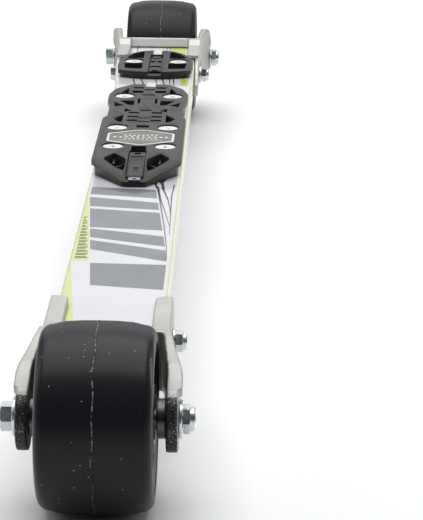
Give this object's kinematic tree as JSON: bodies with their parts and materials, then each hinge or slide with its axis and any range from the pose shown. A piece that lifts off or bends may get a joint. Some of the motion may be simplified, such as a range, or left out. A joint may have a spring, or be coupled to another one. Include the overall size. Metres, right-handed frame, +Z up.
{
  "type": "roller ski",
  "caption": "Wheeled cross country training ski: fibreglass shaft, cast fork at each end with a wide rubber wheel, toe and heel plates on top.",
  "frame": {"origin": "on the ground, midway between the two wheels, on the middle plane", "axes": "+X to the skier's right, +Y from the toe end back to the heel end, +Z up"},
  "size_m": [0.082, 0.782, 0.082],
  "materials": {
    "shaft_gloss": "gloss white lacquer with green, grey and black printed shapes",
    "core_foam": "rigid foam core",
    "cast_aluminium": "satin sand-blasted casting",
    "zinc_steel": "bright zinc plate",
    "screw_steel": "bright turned steel",
    "bearing_steel": "ground steel",
    "tyre_rubber": "smooth black rubber with a moulding line",
    "hub_nylon": "glass-filled nylon",
    "plate_plastic": "dark warm grey moulded plastic, fine grain",
    "badge_grey": "grey film with a pale border"
  },
  "bodies": {
    "frame": {"shaft_shell": "shaft_gloss", "shaft_core": "core_foam", "front_fork": "cast_aluminium", "rear_fork": "cast_aluminium", "toe_plate": "plate_plastic", "heel_plate": "plate_plastic", "badge_plate": "badge_grey", "toe_tongue": "plate_plastic", "toe_catch": "zinc_steel", "heel_insert": "plate_plastic", "front_clamp_bolt": "zinc_steel", "front_clamp_washer": "zinc_steel", "front_clamp_nut": "zinc_steel", "front_locating_pin": "zinc_steel", "front_axle_bolt": "zinc_steel", "front_axle_nut": "zinc_steel", "front_axle_sleeve": "zinc_steel", "front_axle_washer_left": "zinc_steel", "front_spacer_bush_left": "zinc_steel", "front_bearing_left_inner_race": "bearing_steel", "front_axle_washer_right": "zinc_steel", "front_spacer_bush_right": "zinc_steel", "front_bearing_right_inner_race": "bearing_steel", "rear_clamp_bolt": "zinc_steel", "rear_clamp_washer": "zinc_steel", "rear_clamp_nut": "zinc_steel", "rear_locating_pin": "zinc_steel", "rear_axle_bolt": "zinc_steel", "rear_axle_nut": "zinc_steel", "rear_axle_sleeve": "zinc_steel", "rear_axle_washer_left": "zinc_steel", "rear_spacer_bush_left": "zinc_steel", "rear_bearing_left_inner_race": "bearing_steel", "rear_axle_washer_right": "zinc_steel", "rear_spacer_bush_right": "zinc_steel", "rear_bearing_right_inner_race": "bearing_steel", "toe_1_screw_left": "screw_steel", "toe_1_screw_right": "screw_steel", "toe_2_screw_left": "screw_steel", "toe_2_screw_right": "screw_steel", "toe_3_screw_left": "screw_steel", "toe_3_screw_right": "screw_steel", "heel_screw_left": "screw_steel", "heel_screw_right": "screw_steel"},
    "front_wheel": {"front_tyre": "tyre_rubber", "front_hub": "hub_nylon", "front_bearing_left_outer_race": "bearing_steel", "front_bearing_left_balls": "bearing_steel", "front_bearing_right_outer_race": "bearing_steel", "front_bearing_right_balls": "bearing_steel"},
    "rear_wheel": {"rear_tyre": "tyre_rubber", "rear_hub": "hub_nylon", "rear_bearing_left_outer_race": "bearing_steel", "rear_bearing_left_balls": "bearing_steel", "rear_bearing_right_outer_race": "bearing_steel", "rear_bearing_right_balls": "bearing_steel", "rear_one_way_clutch": "bearing_steel"}
  },
  "joints": [
    {"name": "front_wheel_spin", "type": "hinge", "parent": "frame", "child": "front_wheel", "pos_m": [0, -0.35, 0.041], "axis": [1, 0, 0], "continuous": true},
    {"name": "rear_wheel_spin", "type": "hinge", "parent": "frame", "child": "rear_wheel", "pos_m": [0, 0.35, 0.041], "axis": [1, 0, 0], "continuous": true}
  ]
}
